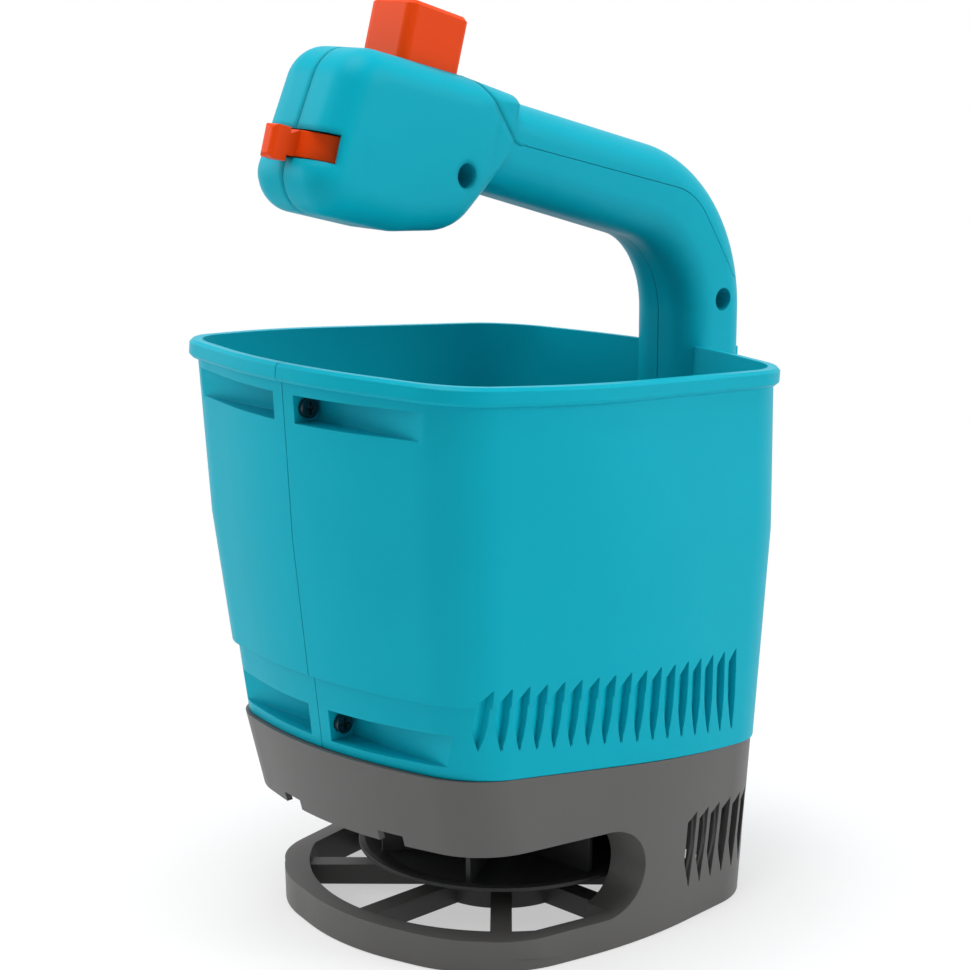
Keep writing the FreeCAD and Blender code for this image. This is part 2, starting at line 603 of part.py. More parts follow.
def base_housing():
    wall, deck = size("base_wall"), size("deck_height")
    top = deck + size("deck_thick")
    outer, inner = base_walls(0.0), base_walls(-wall)
    foot, skirt = size("foot_tall"), size("skirt_height")
    back, round_ = size("window_back"), size("window_round")
    chamber = size("disc_round") + size("disc_gap")
    middle = (foot + skirt) / 2
    window = block((-FAR, -FAR, foot), (FAR, back, skirt))
    window = window.fuse(Part.makeCylinder(round_, 2 * FAR, Vec(-FAR, back, middle), Vec(1, 0, 0)))
    room = Part.makeCylinder(chamber, deck - foot, Vec(0, 0, foot))
    skirt_room = inner.common(block((-FAR, -FAR, foot), (FAR, back - 5, deck)))
    column_room = inner.common(block((-FAR, back + round_ + wall, -1), (FAR, FAR, deck)))
    column_room = column_room.cut(Part.makeCylinder(chamber + wall, 2 * FAR, Vec(0, 0, -50)))
    top_room = inner.common(slab(top, 2 * FAR))
    shell = outer.cut([window, room, skirt_room, column_room, top_room])
    # the open ring of the foot and its spoked grille
    mouth = Part.makeCylinder(size("grille_round"), foot + 2, Vec(0, 0, -1))
    mouth = mouth.common(block((-FAR, -FAR, -2), (FAR, back + 8, foot + 2)))
    mouth = mouth.common(base_walls(-size("foot_wide")))
    mouth = mouth.fuse(Part.makeCylinder(chamber - 2, foot + 2, Vec(0, 0, -1)))
    shell = shell.cut(mouth)
    low, tall, wide = size("spoke_low"), size("spoke_tall"), size("spoke_wide")
    spokes = []
    for number in range(int(size("spoke_count"))):
        spoke = block((-wide / 2, -size("grille_round") - 3, low), (wide / 2, 0, low + tall))
        spoke.rotate(Vec(), Vec(0, 0, 1), number * 360 / size("spoke_count"))
        spokes.append(spoke)
    grille = Part.makeCylinder(size("hub_round"), tall, Vec(0, 0, low)).fuse(spokes)
    shell = shell.fuse(grille.common(outer))
    # vents in both sides of the rear column, and the two hook notches of the skirt
    vents = []
    for number in range(int(size("vent_count"))):
        y = size("vent_first") + number * size("vent_pitch")
        slot = blade(y, size("vent_wide"), size("vent_low"), size("vent_low") + size("vent_tall"))
        vents += both_sides(prism(slot, FAR, chamber + wall + 0.6))
    notches = []
    for side in (1, -1):
        x = side * size("notch_x")
        notches.append(block((x - size("notch_wide") / 2, -FAR, skirt - 1),
                             (x + size("notch_wide") / 2, -55, skirt + size("notch_tall"))))
    shell = shell.cut(vents + notches)
    pillars = [Part.makeCylinder(size("pillar_round") - 1, 60, Vec(x, y, top - 0.5))
               for x, y in PILLARS]
    pillars = Part.makeCompound(pillars).common(slab(0, size("joint_height"), TILT))
    shell = shell.fuse(pillars)
    holes = [Part.makeCylinder(size("screw_round") + size("pilot"), 60, Vec(x, y, deck - 5))
             for x, y in PILLARS]
    holes += [Part.makeCylinder(3.3, 6, Vec(x, y, deck - 6)) for x, y in PILLARS]
    holes.append(Part.makeCylinder(BUSH_ROUND, 20, Vec(0, 0, deck - 5)))
    half, long_ = size("outlet_wide") / 2, size("outlet_long") / 2
    mouth_y, rim = size("outlet_y"), size("chute_wall")
    chute = block((-half - rim, mouth_y - long_ - rim, top - 0.5),
                  (half + rim, mouth_y + long_ + rim, CHUTE_TOP))
    holes.append(block((-half, mouth_y - long_, deck - 5), (half, mouth_y + long_, 2 * FAR)))
    return shell.fuse(chute).cut(holes)


BUSH_ROUND = 5.0     # outside radius of the shaft bushes
SHUTTER_TOP = size("sump_low") - 0.4
CHUTE_TOP = SHUTTER_TOP - size("shutter_thick") - 0.4


def make_base():
    solid("base_housing", base_housing())


def hopper_floor():
    """The funnel plate on the ledge, its sump and the outlet over the disc."""
    seat, thick = size("ledge_height"), 2.5
    wall = size("wall")
    plate = hopper_inside(wall + 0.3).common(slab(seat, seat + thick, TILT))
    low, tall, y = size("sump_low"), size("sump_tall"), size("sump_y")
    big, small = size("sump_top_round"), size("sump_low_round")
    sump = Part.makeCone(small, big, tall, Vec(0, y, low))
    inner = Part.makeCone(small - 2.2, big - 2.2, tall + 0.01, Vec(0, y, low + 2.2))
    under = slab(0, seat + thick, TILT)
    funnel = plate.fuse(sump.common(under)).cut(inner)
    half, long_ = size("outlet_wide") / 2, size("outlet_long") / 2
    outlet = block((-half, size("outlet_y") - long_, 0), (half, size("outlet_y") + long_, 200))
    hole = Part.makeCylinder(BUSH_ROUND, 60, Vec(0, 0, low - 10))
    rails = []
    plate_half, drop = SHUTTER_HALF + 0.3, SHUTTER_TOP - size("shutter_thick") - 0.3
    for side in (1, -1):
        near, far_ = side * plate_half, side * (plate_half + 2.4)
        lip = side * (plate_half - 1.4)
        rails.append(block((min(near, far_), -48, drop - 1.4), (max(near, far_), -6, low + 0.5)))
        rails.append(block((min(lip, near), -48, drop - 1.4), (max(lip, near), -22, drop)))
    return funnel.fuse(rails).cut([outlet, hole])


SHUTTER_HALF = size("outlet_wide") / 2 + size("shutter_lap")


def make_shutter():
    """A slide under the outlet; its arm runs back past the motor to the pull cable."""
    side, low = "-(outlet_wide / 2 + shutter_lap)", "sump_low - 0.4 - shutter_thick"
    back = "outlet_y + outlet_long / 2 - 3"
    pad = box("shutter_pad", (side, "outlet_y - outlet_long / 2 - 2.5", low),
              ("outlet_wide + 2 * shutter_lap", "outlet_long + 5.5", "shutter_thick"))
    arm = box("shutter_arm", (side, back, low),
              (3.5, "shutter_back - (" + back + ")", "shutter_thick"))
    link = box("shutter_link", (side + " - 6", "shutter_back - 6", low),
               (9.5, 6, "shutter_thick"))
    tab = box("shutter_tab", (side + " - 6", "shutter_back - 1.6", "sump_low - 0.4"),
              (6, 1.6, 5))
    fuse("shutter_plate", pad, arm, link, tab)


def gear(teeth, bore, low, thick, phase=0.0):
    """A spur gear with straight-flanked teeth thinned by the backlash."""
    module = size("gear_module")
    pitch = module * teeth / 2
    root, tip = pitch - 1.25 * module, pitch + 0.85 * module
    half = (pi * module / 2 - size("backlash")) / 2
    slant = tan(radians(20))
    points = []
    for number in range(int(teeth)):
        middle = 2 * pi * number / teeth + phase
        for radius, side in ((root, -1), (tip, -1), (tip, 1), (root, 1)):
            angle = middle + side * (half - (radius - pitch) * slant) / radius
            points.append(Vec(radius * cos(angle), radius * sin(angle), low))
    face = Part.Face(Part.makePolygon(points + points[:1]))
    return face.extrude(Vec(0, 0, thick)).cut(Part.makeCylinder(bore, thick, Vec(0, 0, low)))


IDLER_Y = size("gear_module") * (size("drive_teeth") + size("idler_teeth")) / 2
MOTOR_Y = IDLER_Y + size("gear_module") * (size("idler_teeth") + size("pinion_teeth")) / 2
DECK_TOP = size("deck_height") + size("deck_thick")
GEAR_LOW = DECK_TOP + size("gear_low")
COVER_TOP = GEAR_LOW + size("gear_thick") + size("cover_room")
# the same places as text, for the pieces that are bound to the sheet
DECK_AT = "deck_height + deck_thick"
IDLER_AT = "gear_module * (drive_teeth + idler_teeth) / 2"
MOTOR_AT = "gear_module * (drive_teeth + 2 * idler_teeth + pinion_teeth) / 2"


def make_gears():
    low, thick, shaft = GEAR_LOW, size("gear_thick"), size("shaft_round")
    back = pi / 2
    drive = gear(size("drive_teeth"), shaft, low, thick, back)
    solid("drive_gear", drive)
    idler = gear(size("idler_teeth"), size("idler_pin_round") + size("running"), low, thick,
                 back + pi / size("idler_teeth"))
    idler.translate(Vec(0, IDLER_Y, 0))
    solid("idler_gear", idler)
    pinion = gear(size("pinion_teeth"), 0.9, low, thick, back).fuse(
        Part.makeCylinder(1.0, COVER_TOP - low, Vec(0, 0, low)))
    pinion.translate(Vec(0, MOTOR_Y, 0))
    solid("motor_pinion", pinion)
    stud = rod("idler_stud", (0, IDLER_AT, DECK_AT), "idler_pin_round",
               "gear_low + gear_thick + 1")
    foot = box("idler_foot", (-4, IDLER_AT + " - 4", DECK_AT), (8, 8, "gear_low - 0.3"))
    fuse("idler_pin", stud, foot)


def gearbox_cover():
    """An open box over the gears with rounded corners, and holes for both shafts."""
    wall = size("cover_wall")
    gear_round = size("gear_module") * size("drive_teeth") / 2 + size("cover_clear")
    back = MOTOR_Y + size("motor_round") + 1.0
    hulls = []
    for grow, top in ((wall, COVER_TOP), (0.0, COVER_TOP - wall)):
        half = gear_round + grow
        hull = block((-half, -half, DECK_TOP), (half, back + grow, top))
        upright = [edge for edge in hull.Edges if edge.BoundBox.ZLength > 1]
        hulls.append(hull.makeFillet(size("cover_corner") + grow, upright))
    holes = [Part.makeCylinder(size("shaft_round") + 0.4, 90, Vec(0, 0, 40)),
             Part.makeCylinder(1.5, 90, Vec(0, MOTOR_Y, 40))]
    return hulls[0].cut([hulls[1]] + holes)


def make_drive():
    low = size("deck_height")
    shaft, run = size("shaft_round"), size("running")
    solid("gearbox_cover", gearbox_cover())
    rod("motor", (0, MOTOR_AT, DECK_AT + " + gear_low + gear_thick + cover_room"),
        "motor_round", "motor_tall")
    bushes = []
    for base, flange in ((low - 1.5, low - 1.5), (size("sump_low") - 1.5, size("sump_low") - 1.5)):
        bush = Part.makeCylinder(BUSH_ROUND, 5.0, Vec(0, 0, base + 1.5))
        bush = bush.fuse(Part.makeCylinder(BUSH_ROUND + 2, 1.5, Vec(0, 0, flange)))
        bushes.append(bush.cut(Part.makeCylinder(shaft + run, 20, Vec(0, 0, base - 5))))
    solid("shaft_bushes", Part.makeCompound(bushes))
    long_ = rod("shaft_rod", (0, 0, "disc_height - hub_deep"), "shaft_round",
                "sump_low + shaft_over - disc_height + hub_deep")
    thread = rod("shaft_bore", (0, 0, "disc_height - hub_deep - 1"), "screw_round", 10)
    cut("drive_shaft", long_, thread)
    ring = rod("seal_ring", (0, 0, "sump_low + seal_up"), "seal_round", "seal_thick")
    hole = rod("seal_hole", (0, 0, "sump_low + seal_up - 1"), "shaft_round + running",
               "seal_thick + 2")
    cut("shaft_seal", ring, hole)
    hub_low = size("sump_low") + size("seal_up") + size("seal_thick")
    top = size("sump_low") + size("shaft_over")
    hub = Part.makeCylinder(7, top - hub_low, Vec(0, 0, hub_low))
    for number in range(3):
        arm = block((0, -1.6, hub_low + 1.0), (24, 1.6, hub_low + 4.6))
        arm.rotate(Vec(), Vec(0, 0, 1), 120 * number)
        hub = hub.fuse(arm)
    solid("agitator", hub.cut(Part.makeCylinder(shaft, 40, Vec(0, 0, hub_low - 5))))


def make_disc():
    """The spreading disc: a turned dish with a hub, and vanes padded on and repeated."""
    body = doc.addObject("PartDesign::Body", "spreading_disc")
    planes = {item.Role: item for item in body.Origin.OriginFeatures}
    profile = body.newObject("Sketcher::SketchObject", "DishProfile")
    profile.AttachmentSupport = [(planes["XZ_Plane"], "")]
    profile.MapMode = "FlatFace"
    rim, height = size("disc_round"), size("disc_height")
    floor, thick, shaft = height - size("hub_deep"), 2.0, size("shaft_round")
    hub_top = size("deck_height") - 2.2
    points = [(shaft, floor), (rim - 9, floor), (rim, height - 1.4), (rim, height),
              (rim - 2.4, height), (rim - 10, floor + thick), (8.5, floor + thick),
              (8.5, hub_top), (shaft, hub_top)]
    for start, stop in zip(points, points[1:] + points[:1]):
        profile.addGeometry(Part.LineSegment(Vec(*start, 0), Vec(*stop, 0)), False)
    dish = body.newObject("PartDesign::Revolution", "Dish")
    dish.Profile = profile
    dish.ReferenceAxis = (profile, ["V_Axis"])
    dish.Angle = 360
    doc.recompute()
    outline_ = body.newObject("Sketcher::SketchObject", "VaneProfile")
    outline_.AttachmentSupport = [(planes["XZ_Plane"], "")]
    outline_.MapMode = "FlatFace"
    top = floor + thick + size("vane_tall")
    vane_points = [(7.5, floor + thick - 0.5), (rim - 8, floor + thick - 0.5), (rim - 8, top),
                   (26, top), (7.5, hub_top - 4)]
    for start, stop in zip(vane_points, vane_points[1:] + vane_points[:1]):
        outline_.addGeometry(Part.LineSegment(Vec(*start, 0), Vec(*stop, 0)), False)
    vane = body.newObject("PartDesign::Pad", "Vane")
    vane.Profile = outline_
    vane.Length = 1.8
    vane.Midplane = True
    doc.recompute()
    vanes = body.newObject("PartDesign::PolarPattern", "Vanes")
    vanes.Originals = [vane]
    vanes.Axis = (planes["Z_Axis"], [""])
    vanes.Angle = 360
    vanes.Occurrences = int(size("vane_count"))
    body.Tip = vanes
    doc.recompute()
    low = "disc_height - hub_deep - 2.2"
    head = rod("disc_screw_head", (0, 0, low), 5.0, 2.2)
    shank = rod("disc_screw_shank", (0, 0, low), "screw_round", 9)
    fuse("disc_screw", head, shank)


def make_controls():
    wide, long_, tall = (size("button_" + side) for side in ("wide", "long", "tall"))
    cap = block((-wide / 2, -long_ / 2, FLANGE_TOP - 0.5), (wide / 2, long_ / 2, tall))
    upright = [edge for edge in cap.Edges if edge.BoundBox.ZLength > 1]
    cap = cap.makeFillet(size("button_round"), upright)
    rim = [edge for edge in cap.Edges if edge.BoundBox.ZMin > tall - 0.01]
    cap = cap.makeChamfer(1.4, rim)
    thick = size("flange")
    flange = block((-wide / 2 - 1.2, -long_ / 2 - 1.6, FLANGE_TOP - thick),
                   (wide / 2 + 1.2, long_ / 2 + 1.6, FLANGE_TOP))
    stem = block((-3, 7.5, FLANGE_TOP - thick - 6), (3, 11.5, FLANGE_TOP - thick))
    solid("thumb_button", placed(cap.fuse([flange, stem]), IN_BUTTON))
    shelf = -size("button_travel") - 20.0
    bracket = block((-BRACKET_HALF, -12, shelf - 2.5), (BRACKET_HALF, 13.6, shelf))
    stud = Part.makeCylinder(3.2, 3, Vec(0, 0, shelf))
    solid("control_bracket", placed(bracket.fuse(stud), IN_BUTTON))
    solid("button_spring", placed(spring(shelf + 0.6, FLANGE_TOP - thick - 0.6), IN_BUTTON))
    switch = block((-3.2, 5.6, shelf), (3.2, 13.4, shelf + 6.5))
    plunger = Part.makeCylinder(1.0, 1.2, Vec(0, 9.5, shelf + 6.5))
    solid("micro_switch", placed(switch.fuse(plunger), IN_BUTTON))
    solid("dosing_lever", placed(dosing_lever(), IN_LEVER))
    pin = Part.makeCylinder(size("pin_round"), 25, Vec(0, 0, -12.5))
    solid("lever_pivot", placed(pin, IN_LEVER))


def spring(low, high):
    """A coil spring: five-sided wire sections set along a helix and joined straight."""
    radius, wire, turns, sides, steps = 4.6, 0.55, 4, 5, 12
    rings = []
    for step in range(turns * steps + 1):
        angle = 2 * pi * step / steps
        out = Vec(cos(angle), sin(angle), 0)
        centre = out * radius + Vec(0, 0, low + (high - low) * step / (turns * steps))
        corners = []
        for side in range(sides):
            around = 2 * pi * side / sides
            corners.append(centre + out * (wire * cos(around)) + Vec(0, 0, wire * sin(around)))
        rings.append(Part.makePolygon(corners + corners[:1]))
    return Part.makeLoft(rings, True, True)


FLANGE_TOP = -3.6    # the button's collar, under the head's top wall
BRACKET_HALF = 17.8


def dosing_lever():
    round_, band, tall = size("lever_round"), size("lever_band"), size("lever_tall")
    ring = Part.makeCylinder(round_, tall, Vec(0, 0, -tall / 2))
    ring = ring.cut(Part.makeCylinder(round_ - band, tall, Vec(0, 0, -tall / 2)))
    ring = ring.common(sector(size("lever_half") + size("lever_spare"), 40))
    web = Part.makeCylinder(round_ - band / 2, 2.4, Vec(0, 0, -1.2)).common(sector(35, 40))
    hub = Part.makeCylinder(LEVER_HUB, tall, Vec(0, 0, -tall / 2))
    wide, high = size("knob_wide") / 2, size("knob_tall") / 2
    neck = block((-wide, -round_ - 4.6, -tall / 2), (wide, -round_ + band / 2, tall / 2))
    knob = block((-wide, -round_ - size("knob_out"), -high), (wide, -round_ - 3.8, high))
    knob = knob.makeFillet(size("knob_soft"), [edge for edge in knob.Edges
                                               if edge.BoundBox.YMax < 0.1 - round_ - size("knob_out")])
    bore = Part.makeCylinder(size("pin_round") + size("running"), 40, Vec(0, 0, -20))
    return ring.fuse([web, hub, neck, knob]).cut(bore)


def make_power():
    round_, long_ = size("cell_round"), size("cell_long")
    cells = []
    for side in (1, -1):
        x = side * (round_ + 0.1)
        for number in range(2):
            start = -BAY_LONG + 2.0 + number * (long_ + 0.5)
            cell = Part.makeCylinder(round_, long_ - 1.2, Vec(x, start, 0), Vec(0, 1, 0))
            nub = Part.makeCylinder(2.7, long_, Vec(x, start, 0), Vec(0, 1, 0))
            cells.append(cell.fuse(nub))
    solid("batteries", placed(Part.makeCompound(cells), IN_GRIP))
    tray = block((-BAY_HALF + 0.15, -BAY_LONG + 0.2, -7.8), (BAY_HALF - 0.15, -3.2, -1.5))
    for side in (1, -1):
        tray = tray.cut(Part.makeCylinder(round_ + 0.1, BAY_LONG - 4, Vec(side * (round_ + 0.1),
                                          -BAY_LONG + 1.2, 0), Vec(0, 1, 0)))
    solid("battery_tray", placed(tray, IN_GRIP))
    ends = []
    for low in (-BAY_LONG + 1.25, -BAY_LONG + 2 * long_ + 2.65):
        ends.append(block((-13, low, -1.4), (13, low + 0.6, 5)))
    solid("battery_contacts", placed(Part.makeCompound(ends), IN_GRIP))


def lead(points, radius):
    """A six-sided lead: straight runs joined by arcs of three short steps."""
    middles, sides = [points[0]], 6
    for before, here, after in zip(points, points[1:], points[2:]):
        into, out = (before - here), (after - here)
        run = min(into.Length, out.Length) * 0.45
        start, stop = here + into.normalize() * run, here + out.normalize() * run
        for share in (0.0, 0.33, 0.67, 1.0):
            first = start + (here - start) * share
            second = here + (stop - here) * share
            middles.append(first + (second - first) * share)
    middles.append(points[-1])
    rings = []
    for number, middle in enumerate(middles):
        ahead = middles[min(number + 1, len(middles) - 1)] - middles[max(number - 1, 0)]
        ahead.normalize()
        across = Vec(1, 0, 0) - ahead * ahead.x
        across.normalize()
        beside = ahead.cross(across)
        corners = []
        for side in range(sides):
            around = 2 * pi * side / sides
            corners.append(middle + across * (radius * cos(around)) + beside * (radius * sin(around)))
        rings.append(Part.makePolygon(corners + corners[:1]))
    return Part.makeLoft(rings, True, True)


def along_bend(x, depth):
    """Corner points of a lead that follows the bend, so deep from the handle's centre line."""
    radius = size("bend_round") + depth
    turn = (pi / 2 - SLOPE) / 4
    angles = [SLOPE + turn, SLOPE + 3 * turn]
    return [BEND + Vec(x, sin(angle) * radius / cos(turn), cos(angle) * radius / cos(turn))
            for angle in angles]


def down_column(x):
    """Corner points of a lead from the bend down the spine and through the hopper's wall."""
    column = BEND.y + size("bend_round")
    return [Vec(x, column - 10, 200), Vec(x, column - 7, 165), Vec(x, 96.6, 124),
            Vec(x, 92.3, 104.5), Vec(x, 88.6, 95.5), Vec(x, 80, 93.5), Vec(x, 66, 97)]


def make_leads():
    wires = [IN_GRIP.multVec(Vec(5, -2.6, -9.8))] + along_bend(5, -9.8) + down_column(5)
    wires += [Vec(5, MOTOR_Y + 2, 99.5), Vec(5, MOTOR_Y + 2, COVER_TOP + size("motor_tall"))]
    solid("motor_leads", lead(wires, 1.1))
    cable = [Vec(-5, -72, 276), Vec(-5, -44, 269), Vec(-5, -31, 274), Vec(-5, -23.5, 283.6),
             IN_GRIP.multVec(Vec(-5, -80, -10.6))]
    cable += along_bend(-5, -10.6) + down_column(-5)[:-1] + [Vec(-14, 76, 92), Vec(-19, 65, 87)]
    solid("control_cable", lead(cable, 1.2))


def make_screws():
    solid("handle_screws", Part.makeCompound(
        [screw_on_x(y, z, HEAD_AT, TIP_AT) for y, z in HANDLE_SCREWS]))
    solid("flange_screws", Part.makeCompound(
        [screw_on_x(y, z, size("pocket_start"), TIP_AT) for y, z in FLANGE_SCREWS]))
    screws = []
    for x, y in PILLARS:
        low = size("deck_height") - 2.2
        shank = Part.makeCylinder(size("screw_round"), size("base_screw_long"), Vec(x, y, low))
        screws.append(shank.fuse(Part.makeCylinder(2.9, 2.2, Vec(x, y, low))))
    solid("base_screws", Part.makeCompound(screws))


make_housing()
make_base()
solid("hopper_floor", hopper_floor())
make_shutter()
make_gears()
make_drive()
make_disc()
make_controls()
make_power()
make_leads()
make_screws()
doc.recompute()

NODES = ("left_housing", "right_housing", "grip_cover", "base_housing", "hopper_floor",
         "shutter_plate", "drive_gear", "idler_gear", "idler_pin", "motor_pinion",
         "gearbox_cover", "motor", "shaft_bushes", "drive_shaft", "shaft_seal", "agitator",
         "spreading_disc", "disc_screw", "thumb_button", "control_bracket", "button_spring",
         "micro_switch", "dosing_lever", "lever_pivot", "batteries", "battery_tray",
         "battery_contacts", "motor_leads", "control_cable", "handle_screws", "flange_screws",
         "base_screws")
for item in doc.Objects:
    if "Invalid" in item.State or "Error" in item.State:
        raise RuntimeError(item.Label + " failed: " + ", ".join(item.State))
for name in NODES:
    shape = doc.getObject(name).Shape
    if shape.isNull() or not shape.isValid() or not shape.Solids:
        raise RuntimeError(name + " has no valid solid")

# the origin is the middle of the whole under side: front at the lever's knob, back at the column
soft = size("knob_soft")
knob = Vec(0, -size("lever_round") - size("knob_out") + soft, soft - size("knob_tall") / 2)
front = IN_LEVER.multVec(knob).y - soft
middle = round((front + COLUMN_BACK) / 2, 1)
print("disc axis at y", -middle)
for name in NODES:
    item = doc.getObject(name)
    item.Label = name
    item.Placement = FreeCAD.Placement(Vec(0, -middle, 0), FreeCAD.Rotation()).multiply(item.Placement)

os.makedirs("parts", exist_ok=True)
for name in NODES:
    item = doc.getObject(name)
    item.Shape.exportStep("parts/" + name + ".step")
    print(name, len(item.Shape.Solids), round(item.Shape.Volume))
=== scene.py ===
# %% [markdown]
# # A battery hand spreader
# The real tool is a two-part moulded hopper with a hooked handle, standing on a grey base
# that holds a spinning disc. The solids come from the CAD model, already in metres and in
# the right place, so this script gives them their finish, their light and the camera.

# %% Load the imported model
import math
import bmesh
import bpy
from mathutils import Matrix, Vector
from mathutils.bvhtree import BVHTree


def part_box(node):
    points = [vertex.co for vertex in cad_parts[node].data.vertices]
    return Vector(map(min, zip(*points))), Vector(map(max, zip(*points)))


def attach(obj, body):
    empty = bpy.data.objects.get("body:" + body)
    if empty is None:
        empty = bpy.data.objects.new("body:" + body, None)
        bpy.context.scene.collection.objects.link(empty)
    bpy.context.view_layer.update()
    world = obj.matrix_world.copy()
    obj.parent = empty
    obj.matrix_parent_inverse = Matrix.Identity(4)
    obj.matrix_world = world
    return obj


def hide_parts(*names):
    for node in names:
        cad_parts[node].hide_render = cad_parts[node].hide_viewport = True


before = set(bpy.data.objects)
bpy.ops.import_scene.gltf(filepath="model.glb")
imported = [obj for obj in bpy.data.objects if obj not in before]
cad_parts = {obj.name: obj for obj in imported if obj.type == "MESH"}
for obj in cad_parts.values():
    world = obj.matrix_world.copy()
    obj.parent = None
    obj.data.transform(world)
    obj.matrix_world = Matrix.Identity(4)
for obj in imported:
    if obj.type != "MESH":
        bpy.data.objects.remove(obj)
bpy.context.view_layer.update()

MM = 0.001
print("nodes:", len(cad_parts))

# %% [markdown]
# ## Camera
# The photograph looks at the front right corner from a little above. A long lens keeps the
# uprights nearly parallel. The place and the aim are in millimetres from the disc's axis,
# which is read from the drive shaft, so the camera follows the model.

# %% Place the camera
shaft_low, shaft_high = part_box("drive_shaft")
axis = Vector(((shaft_low.x + shaft_high.x) / 2, (shaft_low.y + shaft_high.y) / 2, 0))
CAMERA_AT = Vector((647.0, -644.9, 372.0)) * MM
CAMERA_AIM = Vector((0.0, -9.05, 162.5)) * MM
LENS, SENSOR = 91.9, 36.0

camera_data = bpy.data.cameras.new("photo_camera")
camera_data.lens = LENS
camera_data.sensor_width = SENSOR
camera = bpy.data.objects.new("photo_camera", camera_data)
camera.location = axis + CAMERA_AT
camera.rotation_euler = (CAMERA_AIM - CAMERA_AT).to_track_quat("-Z", "Y").to_euler()
bpy.context.scene.collection.objects.link(camera)
bpy.context.scene.camera = camera
print("camera:", round((CAMERA_AIM - CAMERA_AT).length, 3), "m from what it looks at")

# %% [markdown]
# ## Two small helpers
# Colours are written as they look on screen, in sRGB hex, and Blender's shaders work in
# linear light, so one function converts them. The other adds a node, sets its values and
# links what is passed to it as a socket.

# %% Colour and node helpers
def linear(hex_colour):
    values = []
    for place in (1, 3, 5):
        channel = int(hex_colour[place:place + 2], 16) / 255
        values.append(channel / 12.92 if channel <= 0.04045 else ((channel + 0.055) / 1.055) ** 2.4)
    return (*values, 1.0)


def add(tree, kind, settings=None, **inputs):
    """Inputs go by name, with _ for a space, or as i0, i1 … where names repeat."""
    node = tree.nodes.new(kind)
    for name, value in (settings or {}).items():
        setattr(node, name, value)
    for name, value in inputs.items():
        socket = node.inputs[int(name[1:])] if name[0] == "i" and name[1:].isdigit() else None
        socket = socket or node.inputs[name.replace("_", " ")]
        if isinstance(value, bpy.types.NodeSocket):
            tree.links.new(value, socket)
        else:
            socket.default_value = value
    return node


# %% [markdown]
# ## Moulded plastic
# Polypropylene and ABS housings come out of a spark-eroded steel mould, so their skin has
# a fine even grain that breaks up highlights. Real grain is about 0.1 mm, too fine for
# this picture, so it is drawn at 0.5 to 0.8 mm. A second, broad and very weak noise stands
# for the slow sink and flow marks that make a moulded wall look less than perfectly flat.
# A bevel in the shading takes the sharpness off the edges. Where a plastic asks for it,
# that bevel grows wide on the head, whose faces run into one another on the real tool.

# %% Moulded plastic material
HEAD_AHEAD_OF = axis.y - 4 * MM         # the head lies ahead of this y
HEAD_ABOVE = 252 * MM                   # and above this z
HEAD_FADE = 8 * MM                      # the wide bevel comes in over this far
FLOW_MARKS = 45 * MM
GRAIN_WANDER = 0.05                     # roughness wanders this much either way


def moulded(name, colour, shade, roughness, grain_mm=0.6, grain_deep_mm=0.012, edge_mm=0.5,
            gloss=0.12, blended_mm=0.0):
    material = bpy.data.materials.new(name)
    material.use_nodes = True
    tree = material.node_tree
    shader = tree.nodes["Principled BSDF"]
    place = add(tree, "ShaderNodeTexCoord").outputs["Object"]
    broad = add(tree, "ShaderNodeTexNoise", Vector=place, Scale=1 / FLOW_MARKS, Detail=3.0)
    tint = add(tree, "ShaderNodeMix", {"data_type": "RGBA"}, i0=broad.outputs["Fac"],
               i6=linear(shade), i7=linear(colour))
    tree.links.new(tint.outputs[2], shader.inputs["Base Color"])
    grain = add(tree, "ShaderNodeTexNoise", Vector=place, Scale=1 / (grain_mm * MM), Detail=2.0)
    rough = add(tree, "ShaderNodeMapRange", Value=grain.outputs["Fac"],
                To_Min=roughness - GRAIN_WANDER, To_Max=roughness + GRAIN_WANDER)
    tree.links.new(rough.outputs[0], shader.inputs["Roughness"])
    soft = add(tree, "ShaderNodeBevel", {"samples": 4}, Radius=edge_mm * MM)
    if blended_mm:
        apart = add(tree, "ShaderNodeSeparateXYZ", Vector=place)
        high = add(tree, "ShaderNodeMapRange", Value=apart.outputs["Z"],
                   From_Min=HEAD_ABOVE, From_Max=HEAD_ABOVE + HEAD_FADE)
        ahead = add(tree, "ShaderNodeMapRange", Value=apart.outputs["Y"],
                    From_Min=HEAD_AHEAD_OF, From_Max=HEAD_AHEAD_OF - HEAD_FADE)
        share = add(tree, "ShaderNodeMath", {"operation": "MULTIPLY"}, i0=high.outputs[0],
                    i1=ahead.outputs[0])
        radius = add(tree, "ShaderNodeMapRange", Value=share.outputs[0],
                     To_Min=edge_mm * MM, To_Max=blended_mm * MM)
        tree.links.new(radius.outputs[0], soft.inputs["Radius"])
    bump = add(tree, "ShaderNodeBump", Strength=1.0, Distance=grain_deep_mm * MM,
               Height=grain.outputs["Fac"], Normal=soft.outputs["Normal"])
    tree.links.new(bump.outputs["Normal"], shader.inputs["Normal"])
    shader.inputs["IOR"].default_value = 1.5
    shader.inputs["Specular IOR Level"].default_value = gloss
    return material


# %% [markdown]
# ## Metal
# Screws, shaft and pins are steel, and the bushes and the motor's pinion are brass. Turning
# and plating leave marks finer than the picture shows, so a fine noise stands for them in
# the roughness and in a very shallow bump.

# %% Turned metal material
MARK_WANDER = 0.08                      # roughness wanders this much either way
MARK_DEEP = 0.01 * MM


